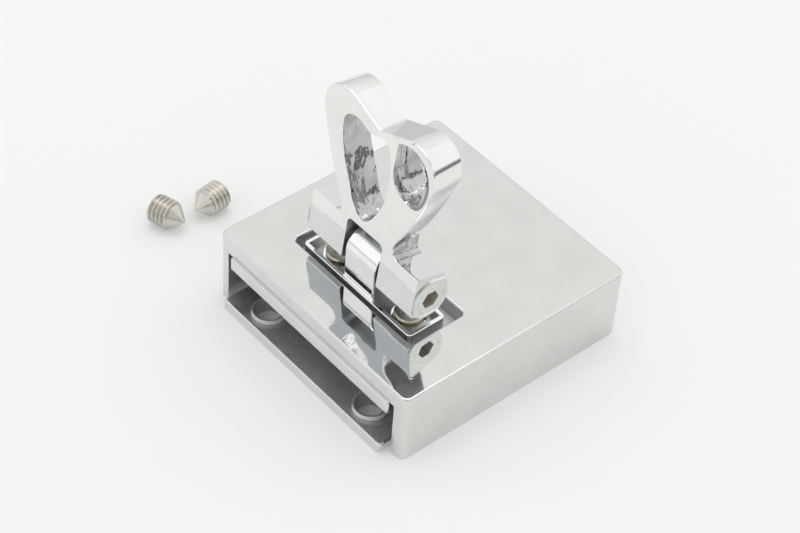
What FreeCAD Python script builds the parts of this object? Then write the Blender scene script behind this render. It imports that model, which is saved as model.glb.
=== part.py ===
import FreeCAD, Part
import Sketcher
import math
import os

# Bag lock with a flip head, in millimetres.
# A square chromed cover slides over a C-shaped strap clamp. A hinge lug rises through a window in
# the cover, and a pierced, heart-shaped head swings on it on two dog-point set screws.
# Origin: centre of the cover's footprint, on its underside. +Z is up, -Y is the mouth of the clamp.

doc = FreeCAD.newDocument("twist_lock_clasp")
sheet = doc.addObject("Spreadsheet::Sheet", "sizes")

# Driving sizes

SIZES = [
    ("cover_width", 45.0, "cover, outside width"),
    ("cover_depth", 45.0, "cover, outside depth"),
    ("cover_roof", 2.9, "cover, thickness of the roof"),
    ("cover_wall", 2.4, "cover, side and back wall"),
    ("cover_corner", 1.4, "cover, radius of the upright corners"),
    ("cover_edge", 0.4, "cover, radius of the top edges"),
    ("window_beside", 1.3, "window, gap beside the tray"),
    ("window_ahead", 0.7, "window, gap ahead of the tray"),
    ("window_behind", 2.5, "window, gap behind the tray"),
    ("window_corner", 0.7, "window, corner radius"),
    ("window_edge", 0.4, "window, radius of the top edge"),
    ("clamp_side_play", 0.95, "clamp body, gap to the cover at each side"),
    ("clamp_back_play", 1.0, "clamp body, gap to the cover at the back"),
    ("clamp_leaf", 2.0, "clamp body, lower leaf thickness"),
    ("clamp_top", 2.4, "clamp body, upper leaf thickness"),
    ("clamp_reach", 1.7, "clamp body, how far the lower leaf stands out of the cover"),
    ("clamp_lip_reach", 0.5, "clamp body, how far the upper leaf stands out of the cover"),
    ("clamp_web", 3.0, "clamp body, web thickness"),
    ("strap_gap", 6.0, "clamp body, height of the strap slot"),
    ("clamp_corner", 0.5, "clamp body, plan radius at the front"),
    ("clamp_bend", 1.0, "clamp body, radius inside the slot"),
    ("clamp_edge", 0.25, "clamp body, bevel of the lips"),
    ("boss_inset", 6.65, "screw boss, distance from the leaf's side"),
    ("boss_setback", 4.0, "screw boss, distance from the leaf's front edge"),
    ("boss_radius", 2.85, "screw boss, outside radius"),
    ("boss_height", 0.8, "screw boss, height"),
    ("tap_radius", 2.1, "clamping thread M5, wall radius"),
    ("tap_mouth", 2.55, "clamping thread, radius of its mouth"),
    ("tray_length", 25.5, "hinge base, length of the tray"),
    ("tray_ahead", 4.0, "hinge base, front edge from the pivot axis"),
    ("tray_behind", 3.4, "hinge base, back edge from the pivot axis"),
    ("tray_deep", 1.3, "hinge base, depth of the tray under its rim"),
    ("tray_rim", 0.7, "hinge base, width of the rim"),
    ("tray_corner", 0.8, "hinge base, corner radius"),
    ("rim_edge", 0.15, "hinge base, radius of the rim edges"),
    ("lug_width", 7.0, "hinge lug, width"),
    ("lug_radius", 3.4, "hinge lug, knuckle radius"),
    ("lug_foot", 0.42, "hinge lug, radius of the foot"),
    ("lug_edge", 0.3, "hinge lug, radius of the edges"),
    ("pivot_along", -9.6, "pivot axis, position along Y"),
    ("arm_gap", 2.05, "pivot axis, gap between the tray and the arms"),
    ("pivot_bore", 1.8, "bore of the lug, radius"),
    ("lean", 4.5, "lean of the head towards the back, degrees"),
    ("base_screw_across", 8.2, "base screw, distance from the middle"),
    ("base_screw_head", 2.4, "base screw, head radius"),
    ("base_screw_tall", 1.35, "base screw, head height"),
    ("base_screw_shank", 1.25, "base screw, thread radius"),
    ("base_screw_sunk", 0.6, "base screw, depth of its seat in the tray's floor"),
    ("base_screw_bore", 2.8, "base screw, radius of its counterbore"),
    ("base_screw_key", 2.0, "base screw, width of the hexagon"),
    ("base_screw_deep", 0.8, "base screw, depth of the hexagon"),
    ("face_front", 3.1, "head, show face ahead of the pivot"),
    ("plate_thick", 5.5, "head, thickness of the lobes"),
    ("plate_draft", 0.3, "head, how much smaller its back is all round"),
    ("lobe_across", 7.7, "head, lobe centre from the middle"),
    ("lobe_up", 23.0, "head, lobe centre above the pivot"),
    ("lobe_radius", 4.75, "head, lobe radius"),
    ("valley_rise", 2.15, "head, bottom of the valley above the lobe centres"),
    ("valley_radius", 0.7, "head, radius of the valley"),
    ("flank_radius", 75.0, "head, radius of the flanks"),
    ("flank_across", 7.5, "head, lower end of the flank from the middle"),
    ("flank_rise", 4.67, "head, lower end of the flank above the arms' top"),
    ("waist_across", 6.15, "head, waist from the middle"),
    ("waist_bend", 3.0, "head, radius between leg and waist"),
    ("waist_up", 3.0, "head, where the plate ends in the arms"),
    ("waist_radius", 1.2, "head, radius between flank and arm"),
    ("arm_half", 12.5, "head, half length over the arms"),
    ("arm_radius", 3.4, "head, barrel radius of the arms"),
    ("arm_top", 5.13, "head, top front edge of the arms"),
    ("arm_toe_out", -3.44, "head, bottom front edge of the arms, ahead"),
    ("arm_toe_up", -2.2, "head, bottom front edge of the arms, height"),
    ("arm_heel_up", 4.05, "head, top back edge of the arms, height"),
    ("arm_bore", 2.5, "head, radius of the threads in the arms"),
    ("arm_step", 0.25, "head, depth of the step on the end faces"),
    ("arm_pad", 3.5, "head, radius of the raised end pad"),
    ("arm_slope", 11.0, "head, slope of the pad's upper line, degrees"),
    ("arm_edge", 0.3, "head, radius of the arm edges"),
    ("plate_edge", 0.3, "head, bevel of the front edges"),
    ("left_eye_edge", 0.12, "head, bevel of the left opening's edges"),
    ("notch_play", 0.57, "head, gap between the lug and the notch at each side"),
    ("notch_gap", 2.4, "head, gap between the lug and the top of the notch"),
    ("notch_corner", 1.0, "head, radius of the notch corners"),
    ("pivot_screw_neck", 0.53, "pivot screw, start of the dog point behind the notch wall"),
    ("pivot_screw_grip", 2.0, "pivot screw, length of the dog point in the lug"),
    ("pivot_screw_play", 0.05, "pivot screw, gap round the dog point in the lug"),
    ("pivot_screw_key", 2.8, "pivot screw, width of the hexagon"),
    ("pivot_screw_deep", 2.8, "pivot screw, depth of the hexagon"),
    ("grub_length", 6.4, "clamping screw M5, length"),
    ("grub_radius", 2.5, "clamping screw, crest radius"),
    ("grub_cone", 2.6, "clamping screw, length of the cone"),
    ("grub_tip", 0.25, "clamping screw, radius of the blunt tip"),
    ("grub_key", 2.5, "clamping screw, width of the hexagon"),
    ("grub_deep", 2.2, "clamping screw, depth of the hexagon"),
    ("grub_first_across", -36.15, "first loose screw, tip along X"),
    ("grub_first_along", -19.05, "first loose screw, tip along Y"),
    ("grub_first_turn", 195.6, "first loose screw, direction of its back end, degrees"),
    ("grub_second_across", -37.65, "second loose screw, tip along X"),
    ("grub_second_along", -16.3, "second loose screw, tip along Y"),
    ("grub_second_turn", 97.9, "second loose screw, direction of its back end, degrees"),
]

# Openings of the head, points in order round each edge: the left one across from the middle and up from its sill,
# drawn for lobe centres at eye_drawn above the sill, and the right one from the centre of a lobe of radius eye_lobe

LEFT_EYE = [
    (-1.50, 0.10), (-2.60, 0.75), (-3.70, 2.20), (-4.55, 4.20), (-5.60, 6.70), (-6.75, 9.20),
    (-7.45, 11.90), (-7.70, 14.00), (-7.45, 15.70), (-6.40, 16.75), (-5.00, 17.15), (-3.40, 16.85),
    (-1.60, 16.40), (-0.20, 16.80), (1.10, 17.05), (2.20, 16.60), (2.85, 15.20), (3.25, 12.40),
    (3.30, 9.60), (3.00, 7.10), (2.30, 4.80), (1.20, 2.40), (-0.10, 0.65),
]
RIGHT_EYE = [
    (-3.55, 2.60), (-2.40, 3.22), (-0.90, 3.50), (0.35, 3.15), (1.25, 2.40), (1.95, 1.40),
    (2.40, -0.20), (2.45, -2.10), (2.20, -4.20), (1.50, -5.60), (0.20, -6.15), (-1.30, -6.05),
    (-2.55, -5.40), (-3.45, -4.05), (-3.75, -2.40),
]
SIZES.append(("eye_sill", 1.2, "left opening, its sill above the notch"))
SIZES.append(("eye_drawn", 16.0, "left opening, height from its sill to the lobe centres, as drawn"))
SIZES.append(("eye_lobe", 4.75, "right opening, radius of its lobe, as drawn"))
for side, points in (("left", LEFT_EYE), ("right", RIGHT_EYE)):
    for number, (across, up) in enumerate(points, 1):
        SIZES.append(("%s_eye_across_%02d" % (side, number), across, "%s opening, point %d, across" % (side, number)))
        SIZES.append(("%s_eye_up_%02d" % (side, number), up, "%s opening, point %d, up" % (side, number)))

for row, (alias, number, note) in enumerate(SIZES, 1):
    sheet.set("A%d" % row, note)
    sheet.set("B%d" % row, "%.4f" % number)
    sheet.setAlias("B%d" % row, alias)
doc.recompute()


class Size:
    """A number of the sheet together with the expression that reads it."""

    def __init__(self, number, text):
        self.number = number
        self.text = text

    def __add__(self, other):
        other = as_size(other)
        return Size(self.number + other.number, "(%s + %s)" % (self.text, other.text))

    def __sub__(self, other):
        other = as_size(other)
        return Size(self.number - other.number, "(%s - %s)" % (self.text, other.text))

    def __mul__(self, factor):
        return Size(self.number * factor, "(%s * %s)" % (self.text, factor))

    def __neg__(self):
        return Size(-self.number, "(-1 * %s)" % self.text)


def as_size(item):
    return item if isinstance(item, Size) else Size(float(item), "%.6f" % item)


def cell(alias):
    return Size(float(sheet.get(alias)), "sizes." + alias)


def smaller(one, other):
    return Size(min(one.number, other.number), "min(%s; %s)" % (one.text, other.text))


# Helpers for bodies, sketches and features


def vec(x, y, z=0.0):
    return FreeCAD.Vector(x, y, z)


def new_body(label):
    body = doc.addObject("PartDesign::Body", label)
    body.Label = label
    return body


def new_sketch(body, name, role, offset=None):
    sketch = body.newObject("Sketcher::SketchObject", name)
    plane = [item for item in body.Origin.OriginFeatures if item.Role == role][0]
    sketch.AttachmentSupport = [(plane, "")]
    sketch.MapMode = "FlatFace"
    if offset is not None:
        sketch.setExpression("AttachmentOffset.Base.z", offset.text)
    return sketch


def fix(sketch, geometry, point, across, up):
    """Hold a point of the sketch at two sizes measured from the sketch's origin."""
    for kind, item, axis in (("DistanceX", across, -2), ("DistanceY", up, -1)):
        item = as_size(item)
        if abs(item.number) < 1e-9:
            sketch.addConstraint(Sketcher.Constraint("PointOnObject", geometry, point, axis))
            continue
        ends = (-1, 1, geometry, point) if item.number > 0 else (geometry, point, -1, 1)
        index = sketch.addConstraint(Sketcher.Constraint(kind, *ends, abs(item.number)))
        item = item if item.number > 0 else -item
        sketch.setExpression("Constraints[%d]" % index, item.text)


def radius(sketch, geometry, item):
    index = sketch.addConstraint(Sketcher.Constraint("Radius", geometry, item.number))
    sketch.setExpression("Constraints[%d]" % index, item.text)


def polygon(sketch, points):
    """A closed outline of straight lines whose corners are held at sizes."""
    points = [(as_size(a), as_size(b)) for a, b in points]
    first = sketch.GeometryCount
    count = len(points)
    for index in range(count):
        start = points[index]
        end = points[(index + 1) % count]
        sketch.addGeometry(Part.LineSegment(vec(start[0].number, start[1].number),
                                            vec(end[0].number, end[1].number)))
    for index in range(count):
        after = first + (index + 1) % count
        sketch.addConstraint(Sketcher.Constraint("Coincident", first + index, 2, after, 1))
        fix(sketch, first + index, 1, *points[index])


def rectangle(sketch, left, right, low, high):
    polygon(sketch, [(left, low), (right, low), (right, high), (left, high)])


def circle(sketch, across, up, size):
    across = as_size(across)
    up = as_size(up)
    index = sketch.addGeometry(Part.Circle(vec(across.number, up.number), vec(0, 0, 1), size.number))
    fix(sketch, index, 3, across, up)
    radius(sketch, index, size)


def extrude(body, kind, name, sketch, length=None, flip=False, middle=False, taper=None):
    feature = body.newObject("PartDesign::" + kind, name)
    feature.Profile = sketch
    feature.Reversed = flip
    feature.SideType = "Symmetric" if middle else "One side"
    if length is None:
        feature.Type = "ThroughAll"
    else:
        feature.Type = "Length"
        feature.setExpression("Length", length.text)
    if taper is not None:
        feature.setExpression("TaperAngle", taper.text)
    doc.recompute()
    compare(feature, kind)
    return feature


def volume(feature):
    return feature.Shape.Volume


def compare(feature, kind):
    """Stop when a feature that should take material away or add it changed nothing."""
    base = feature.BaseFeature
    change = volume(feature) - (volume(base) if base else 0.0)
    wrong = change > -1e-6 if kind in ("Pocket", "Groove", "Hole") else change < 1e-6
    if wrong:
        raise RuntimeError("%s changed the volume by %.4f" % (feature.Label, change))


def pad(body, name, sketch, length, **more):
    return extrude(body, "Pad", name, sketch, length, **more)


def pocket(body, name, sketch, length=None, **more):
    return extrude(body, "Pocket", name, sketch, length, **more)


def revolve(body, name, sketch, axis):
    feature = body.newObject("PartDesign::Revolution", name)
    feature.Profile = sketch
    feature.ReferenceAxis = (sketch, [axis])
    feature.Angle = 360.0
    doc.recompute()
    return feature


def dress(body, kind, name, size, test):
    """Round or bevel the edges of the body that pass the test."""
    base = body.Tip
    names = ["Edge%d" % (index + 1) for index, edge in enumerate(base.Shape.Edges) if test(edge)]
    if not names:
        raise RuntimeError("no edge for " + name)
    feature = body.newObject("PartDesign::" + kind, name)
    feature.Base = (base, names)
    feature.setExpression("Radius" if kind == "Fillet" else "Size", size.text)
    doc.recompute()
    if feature.Shape.isNull() or not feature.isValid():
        raise RuntimeError("no rounding at " + name)
    return feature


def middle_of(edge):
    return edge.valueAt((edge.FirstParameter + edge.LastParameter) / 2.0)


def near(one, other, slack=0.02):
    return abs(one - other) < slack


def along(edge, axis):
    """True for a straight edge parallel to an axis."""
    if not isinstance(edge.Curve, Part.Line):
        return False
    run = edge.valueAt(edge.LastParameter) - edge.valueAt(edge.FirstParameter)
    return abs(abs(run.normalize().dot(axis)) - 1.0) < 1e-4


X_AXIS = vec(1, 0, 0)
Y_AXIS = vec(0, 1, 0)
Z_AXIS = vec(0, 0, 1)

cover_width = cell("cover_width")
cover_depth = cell("cover_depth")
cover_wall = cell("cover_wall")

# Heights, from the strap slot upwards
leaf = cell("clamp_leaf")
slot_top = leaf + cell("strap_gap")
cover_inside = slot_top + cell("clamp_top")
cover_height = cover_inside + cell("cover_roof")
tray_top = cover_height
tray_floor = tray_top - cell("tray_deep")
screw_seat = tray_floor - cell("base_screw_sunk")
arm_radius = cell("arm_radius")
pivot_height = tray_top + cell("arm_gap") + arm_radius

# Places round the pivot axis and inside the cover
pivot_along = cell("pivot_along")
tray_side = cell("tray_length") * 0.5
tray_front = pivot_along - cell("tray_ahead")
tray_back = pivot_along + cell("tray_behind")
window_side = tray_side + cell("window_beside")
window_front = tray_front - cell("window_ahead")
window_back = tray_back + cell("window_behind")
clamp_width = cover_width - cover_wall * 2.0 - cell("clamp_side_play") * 2.0
clamp_front = cover_depth * -0.5 - cell("clamp_reach")
clamp_lip = cover_depth * -0.5 - cell("clamp_lip_reach")
clamp_back = cover_depth * 0.5 - cover_wall - cell("clamp_back_play")
boss_across = clamp_width * 0.5 - cell("boss_inset")
boss_along = clamp_front + cell("boss_setback")
lug_radius = cell("lug_radius")
notch_half = cell("lug_width") * 0.5 + cell("notch_play")
notch_up = lug_radius + cell("notch_gap")

# Cover: open below and at the front, with a window for the hinge base

cover = new_body("cover")
outline = new_sketch(cover, "cover_outline", "XY_Plane")
rectangle(outline, cover_width * -0.5, cover_width * 0.5, cover_depth * -0.5, cover_depth * 0.5)
pad(cover, "cover_block", outline, cover_height)

corner_at = cover_width.number / 2.0
front_at = -cover_depth.number / 2.0
dress(cover, "Fillet", "cover_upright_corners", cell("cover_corner"),
      lambda edge: along(edge, Z_AXIS) and near(abs(middle_of(edge).x), corner_at))

inside = new_sketch(cover, "cover_inside", "XY_Plane")
side = cover_width * 0.5 - cover_wall
rectangle(inside, -side, side, cover_depth * -0.5 - 2.0, cover_depth * 0.5 - cover_wall)
pocket(cover, "cover_hollow", inside, cover_inside, flip=True)

window = new_sketch(cover, "cover_window", "XY_Plane")
rectangle(window, -window_side, window_side, window_front, window_back)
pocket(cover, "cover_window_cut", window, cover_height + 1.0, flip=True)
dress(cover, "Fillet", "cover_window_corners", cell("window_corner"),
      lambda edge: along(edge, Z_AXIS) and near(abs(middle_of(edge).x), window_side.number)
      and middle_of(edge).z > cover_inside.number)


def on_cover_top(edge):
    return all(near(vertex.Z, cover_height.number) for vertex in edge.Vertexes)


def in_window(edge):
    spot = middle_of(edge)
    return abs(spot.x) < window_side.number + 0.1 and window_front.number - 0.1 < spot.y < window_back.number + 0.1


dress(cover, "Fillet", "cover_window_edge", cell("window_edge"),
      lambda edge: on_cover_top(edge) and in_window(edge))
dress(cover, "Fillet", "cover_top_edge", cell("cover_edge"),
      lambda edge: on_cover_top(edge) and not in_window(edge))

# Clamp body: two leaves on a web, with a raised threaded ring near each front corner

clamp = new_body("clamp_body")
section = new_sketch(clamp, "clamp_section", "YZ_Plane")
web_inside = clamp_back - cell("clamp_web")
polygon(section, [
    (clamp_front, 0.0), (clamp_back, 0.0), (clamp_back, cover_inside),
    (clamp_lip, cover_inside), (clamp_lip, slot_top), (web_inside, slot_top),
    (web_inside, leaf), (clamp_front, leaf),
])
pad(clamp, "clamp_profile", section, clamp_width, middle=True)
dress(clamp, "Fillet", "clamp_slot_bend", cell("clamp_bend"),
      lambda edge: along(edge, X_AXIS) and near(middle_of(edge).y, web_inside.number))
dress(clamp, "Fillet", "clamp_back_bend", cell("clamp_bend"),
      lambda edge: along(edge, X_AXIS) and near(middle_of(edge).y, clamp_back.number))
dress(clamp, "Fillet", "clamp_front_corners", cell("clamp_corner"),
      lambda edge: along(edge, Z_AXIS) and middle_of(edge).y < clamp_lip.number + 0.1)


def on_lip(edge):
    spot = middle_of(edge)
    flat = near(edge.Vertexes[0].Z, edge.Vertexes[-1].Z)
    return flat and spot.y < clamp_lip.number + 1.0 and not along(edge, Y_AXIS)


dress(clamp, "Chamfer", "clamp_lip_edges", cell("clamp_edge"), on_lip)

bosses = new_sketch(clamp, "clamp_bosses", "XY_Plane", leaf)
for across in (-boss_across, boss_across):
    circle(bosses, across, boss_along, cell("boss_radius"))
pad(clamp, "clamp_boss_rings", bosses, cell("boss_height"))
taps = new_sketch(clamp, "clamp_taps", "XY_Plane", leaf + cell("boss_height"))
for across in (-boss_across, boss_across):
    circle(taps, across, boss_along, cell("tap_radius"))
pocket(clamp, "clamp_threads", taps, leaf + cell("boss_height") + 1.0)
mouth = cell("tap_mouth") - cell("tap_radius")
boss_top = leaf.number + cell("boss_height").number
dress(clamp, "Chamfer", "clamp_thread_mouths", mouth,
      lambda edge: isinstance(edge.Curve, Part.Circle) and near(edge.Curve.Radius, cell("tap_radius").number)
      and near(edge.Vertexes[0].Z, boss_top))
screw_across = cell("base_screw_across")
leaf_taps = new_sketch(clamp, "clamp_leaf_taps", "XY_Plane", cover_inside)
for across in (-screw_across, screw_across):
    circle(leaf_taps, across, pivot_along, cell("base_screw_shank"))
pocket(clamp, "clamp_leaf_threads", leaf_taps, cover_inside - slot_top + 0.5)

# Hinge base: a shallow rimmed tray with two counterbored holes and the hinge lug in its middle

hinge = new_body("hinge_base")
tray = new_sketch(hinge, "tray_outline", "XY_Plane", cover_inside)
rectangle(tray, -tray_side, tray_side, tray_front, tray_back)
pad(hinge, "tray_block", tray, tray_top - cover_inside)
dress(hinge, "Fillet", "tray_corners", cell("tray_corner"), lambda edge: along(edge, Z_AXIS))
well = new_sketch(hinge, "tray_well", "XY_Plane", tray_top)
rim = cell("tray_rim")
rectangle(well, rim - tray_side, tray_side - rim, tray_front + rim, tray_back - rim)
pocket(hinge, "tray_well_cut", well, tray_top - tray_floor)
dress(hinge, "Fillet", "tray_rim_edges", cell("rim_edge"),
      lambda edge: all(near(vertex.Z, tray_top.number) for vertex in edge.Vertexes))

lug = new_sketch(hinge, "lug_profile", "YZ_Plane")
lug_front = pivot_along - lug_radius
lug_back = pivot_along + lug_radius
lug_low = cover_inside + 0.6
corners = [(lug_front, pivot_height), (lug_front, lug_low), (lug_back, lug_low), (lug_back, pivot_height)]
for start, end in zip(corners, corners[1:]):
    lug.addGeometry(Part.LineSegment(vec(start[0].number, start[1].number), vec(end[0].number, end[1].number)))
centre = vec(pivot_along.number, pivot_height.number)
lug.addGeometry(Part.ArcOfCircle(Part.Circle(centre, vec(0, 0, 1), lug_radius.number), 0.0, math.pi))
lug.addConstraint(Sketcher.Constraint("Coincident", 0, 2, 1, 1))
lug.addConstraint(Sketcher.Constraint("Coincident", 1, 2, 2, 1))
lug.addConstraint(Sketcher.Constraint("Tangent", 2, 2, 3, 1))
lug.addConstraint(Sketcher.Constraint("Tangent", 3, 2, 0, 1))
lug.addConstraint(Sketcher.Constraint("Vertical", 2))
lug.addConstraint(Sketcher.Constraint("Horizontal", 1))
fix(lug, 3, 3, pivot_along, pivot_height)
fix(lug, 1, 1, lug_front, lug_low)
pad(hinge, "lug_block", lug, cell("lug_width"), middle=True)
bore = new_sketch(hinge, "lug_bore", "YZ_Plane")
circle(bore, pivot_along, pivot_height, cell("pivot_bore"))
pocket(hinge, "lug_bore_cut", bore, cell("lug_width") + 2.0, middle=True)


def lug_side_edge(edge):
    spot = middle_of(edge)
    if not near(abs(spot.x), cell("lug_width").number / 2.0) or spot.z < tray_top.number + 0.1:
        return False
    reach = math.hypot(spot.y - pivot_along.number, spot.z - pivot_height.number)
    return reach > lug_radius.number - 0.05


dress(hinge, "Fillet", "lug_edges", cell("lug_edge"), lug_side_edge)
dress(hinge, "Fillet", "lug_foot_round", cell("lug_foot"),
      lambda edge: along(edge, X_AXIS) and near(middle_of(edge).y, lug_front.number)
      and near(middle_of(edge).z, tray_top.number))

seats = new_sketch(hinge, "tray_seats", "XY_Plane", tray_floor)
for across in (-screw_across, screw_across):
    circle(seats, across, pivot_along, cell("base_screw_bore"))
pocket(hinge, "tray_seat_cuts", seats, tray_floor - screw_seat)
holes = new_sketch(hinge, "tray_holes", "XY_Plane", tray_floor)
for across in (-screw_across, screw_across):
    circle(holes, across, pivot_along, cell("base_screw_shank"))
pocket(hinge, "tray_hole_cuts", holes, tray_floor - cover_inside + 0.5)

# Locking head: a drafted, pierced heart on two arms that straddle the lug
# Its own frame: across along X, thickness along Y with the show face at -Y, height along Z

head = new_body("locking_head")
lobe_across = cell("lobe_across")
lobe_up = cell("lobe_up")
lobe_radius = cell("lobe_radius")
flank_radius = cell("flank_radius")
valley_radius = cell("valley_radius")
valley_centre = lobe_up + cell("valley_rise") + valley_radius
front_offset = cell("face_front")

def arc(sketch, centre, size, start, end):
    """An arc drawn counter-clockwise from one point to another."""
    one = math.atan2(start[1] - centre[1], start[0] - centre[0])
    two = math.atan2(end[1] - centre[1], end[0] - centre[0])
    if two < one:
        two += 2.0 * math.pi
    return sketch.addGeometry(Part.ArcOfCircle(Part.Circle(vec(*centre), vec(0, 0, 1), size), one, two))


def line(sketch, start, end):
    return sketch.addGeometry(Part.LineSegment(vec(*start), vec(*end)))


def mirrored(point):
    return (-point[0], point[1])


def moved(centre, angle, size):
    return (centre[0] + size * math.cos(angle), centre[1] + size * math.sin(angle))


def draw_heart(sketch, inset):
    """The heart's outline, everywhere closer to its middle by the inset; gives the height where its waist turns upright."""
    lobe_size = lobe_radius - inset
    valley_size = valley_radius + inset
    flank_size = flank_radius - inset
    bend_size = cell("waist_bend") + inset
    waist = cell("waist_across") - inset
    ground = cell("waist_up")
    lobe = (lobe_across.number, lobe_up.number)
    valley = (0.0, valley_centre.number)

    # Tangent points, worked out from the sheet so that the sketch starts solved
    reach = math.hypot(lobe[0], lobe[1] - valley[1])
    slant = math.atan2(lobe[1] - valley[1], lobe[0])
    slant += math.asin((lobe_radius.number + valley_radius.number) / reach)
    valley_end = moved(valley, slant - math.pi / 2.0, valley_size.number)
    lobe_start = moved(lobe, slant + math.pi / 2.0, lobe_size.number)
    toe = (cell("flank_across").number, (cell("arm_top") + cell("flank_rise")).number)
    gap = math.hypot(lobe[0] - toe[0], lobe[1] - toe[1])
    inner = flank_radius.number - lobe_radius.number
    cosine = (inner ** 2 + gap ** 2 - flank_radius.number ** 2) / (2.0 * inner * gap)
    flank = moved(lobe, math.atan2(toe[1] - lobe[1], toe[0] - lobe[0]) - math.acos(cosine), inner)
    lobe_end = moved(lobe, math.atan2(lobe[1] - flank[1], lobe[0] - flank[0]), lobe_size.number)
    fall = math.atan2(toe[1] - flank[1], toe[0] - flank[0])
    toe = moved(flank, fall, flank_size.number)
    ankle_across = waist.number + bend_size.number * (1.0 - math.cos(fall))
    ankle = (ankle_across, toe[1] - (toe[0] - ankle_across) / math.tan(-fall))
    bend = moved(ankle, fall, bend_size.number)
    heel = (waist.number, bend[1])
    foot = (waist.number, ground.number)

    valley_arc = arc(sketch, valley, valley_size.number, mirrored(valley_end), valley_end)
    rise_right = line(sketch, valley_end, lobe_start)
    lobe_right = arc(sketch, lobe, lobe_size.number, lobe_end, lobe_start)
    flank_right = arc(sketch, flank, flank_size.number, toe, lobe_end)
    leg_right = line(sketch, toe, ankle)
    bend_right = arc(sketch, bend, bend_size.number, ankle, heel)
    shin_right = line(sketch, heel, foot)
    base_line = line(sketch, foot, mirrored(foot))
    shin_left = line(sketch, mirrored(foot), mirrored(heel))
    bend_left = arc(sketch, mirrored(bend), bend_size.number, mirrored(heel), mirrored(ankle))
    leg_left = line(sketch, mirrored(ankle), mirrored(toe))
    flank_left = arc(sketch, mirrored(flank), flank_size.number, mirrored(lobe_end), mirrored(toe))
    lobe_left = arc(sketch, mirrored(lobe), lobe_size.number, mirrored(lobe_start), mirrored(lobe_end))
    rise_left = line(sketch, mirrored(lobe_start), mirrored(valley_end))
    for one, end, two, start in (
        (valley_arc, 2, rise_right, 1), (rise_right, 2, lobe_right, 2), (lobe_right, 1, flank_right, 2),
        (flank_right, 1, leg_right, 1), (leg_right, 2, bend_right, 1), (bend_right, 2, shin_right, 1),
        (shin_left, 2, bend_left, 1), (bend_left, 2, leg_left, 1), (leg_left, 2, flank_left, 2),
        (flank_left, 1, lobe_left, 2), (lobe_left, 1, rise_left, 1), (rise_left, 2, valley_arc, 1),
    ):
        sketch.addConstraint(Sketcher.Constraint("Tangent", one, end, two, start))
    sketch.addConstraint(Sketcher.Constraint("Coincident", shin_right, 2, base_line, 1))
    sketch.addConstraint(Sketcher.Constraint("Coincident", base_line, 2, shin_left, 1))
    fix(sketch, valley_arc, 3, 0.0, valley_centre)
    radius(sketch, valley_arc, valley_size)
    for round_lobe, curve, leg, curl, shin, start, end, sign in (
        (lobe_right, flank_right, leg_right, bend_right, shin_right, 1, 2, 1.0),
        (lobe_left, flank_left, leg_left, bend_left, shin_left, 2, 1, -1.0),
    ):
        fix(sketch, round_lobe, 3, lobe_across * sign, lobe_up)
        radius(sketch, round_lobe, lobe_size)
        radius(sketch, curve, flank_size)
        fix(sketch, leg, start, Size(toe[0], "%.6f" % toe[0]) * sign, Size(toe[1], "%.6f" % toe[1]))
        radius(sketch, curl, bend_size)
        sketch.addConstraint(Sketcher.Constraint("Vertical", shin))
        fix(sketch, shin, end, waist * sign, ground)
    return heel[1]


heart = new_sketch(head, "heart_front", "XZ_Plane", front_offset)
heel_height = draw_heart(heart, Size(0.0, "0"))
heart_back = new_sketch(head, "heart_back", "XZ_Plane", front_offset - cell("plate_thick"))
draw_heart(heart_back, cell("plate_draft"))
plate = head.newObject("PartDesign::AdditiveLoft", "heart_plate")
plate.Profile = heart
plate.Sections = [heart_back]
plate.Ruled = True
doc.recompute()


eye_sill = notch_up + cell("eye_sill")
left_stretch = (lobe_up - eye_sill).number / cell("eye_drawn").number
right_stretch = lobe_radius.number / cell("eye_lobe").number


def eye_points(side, count, ground, stretch):
    """The points of an opening from its ground point, stretched across and upwards."""
    points = [(cell("%s_eye_across_%02d" % (side, index)).number, cell("%s_eye_up_%02d" % (side, index)).number)
              for index in range(1, count + 1)]
    return [vec(ground[0] + across * stretch[0], ground[1] + up * stretch[1]) for across, up in points]


left_eye = new_sketch(head, "left_eye", "XZ_Plane", front_offset)
curve = Part.BSplineCurve()
curve.interpolate(Points=eye_points("left", len(LEFT_EYE), (0.0, eye_sill.number), (1.0, left_stretch)), PeriodicFlag=True)
left_eye.addGeometry(curve)
pocket(head, "left_eye_cut", left_eye, cell("plate_thick") + 1.0)

right_eye = new_sketch(head, "right_eye", "XZ_Plane", front_offset)
spots = eye_points("right", len(RIGHT_EYE), (lobe_across.number, lobe_up.number), (right_stretch, right_stretch))
curve = Part.BSplineCurve()
curve.interpolate(Points=spots)
right_eye.addGeometry(curve)
right_eye.addGeometry(Part.LineSegment(spots[-1], spots[0]))
right_eye.addConstraint(Sketcher.Constraint("Coincident", 0, 2, 1, 1))
right_eye.addConstraint(Sketcher.Constraint("Coincident", 0, 1, 1, 2))
pocket(head, "right_eye_cut", right_eye, cell("plate_thick") + 1.0)

# Arms: a barrel about the pivot with a block ahead of it
arms = new_sketch(head, "arm_section", "YZ_Plane")
toe_out = cell("arm_toe_out")
toe_up = cell("arm_toe_up")
heel_out = cell("plate_thick") - front_offset
heel_up = cell("arm_heel_up")


def touch(out, up, sign):
    """The point where a line from (out, up) touches the barrel."""
    reach = math.hypot(out.number, up.number)
    angle = math.atan2(up.number, out.number) + sign * math.acos(arm_radius.number / reach)
    return (arm_radius.number * math.cos(angle), arm_radius.number * math.sin(angle))


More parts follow.
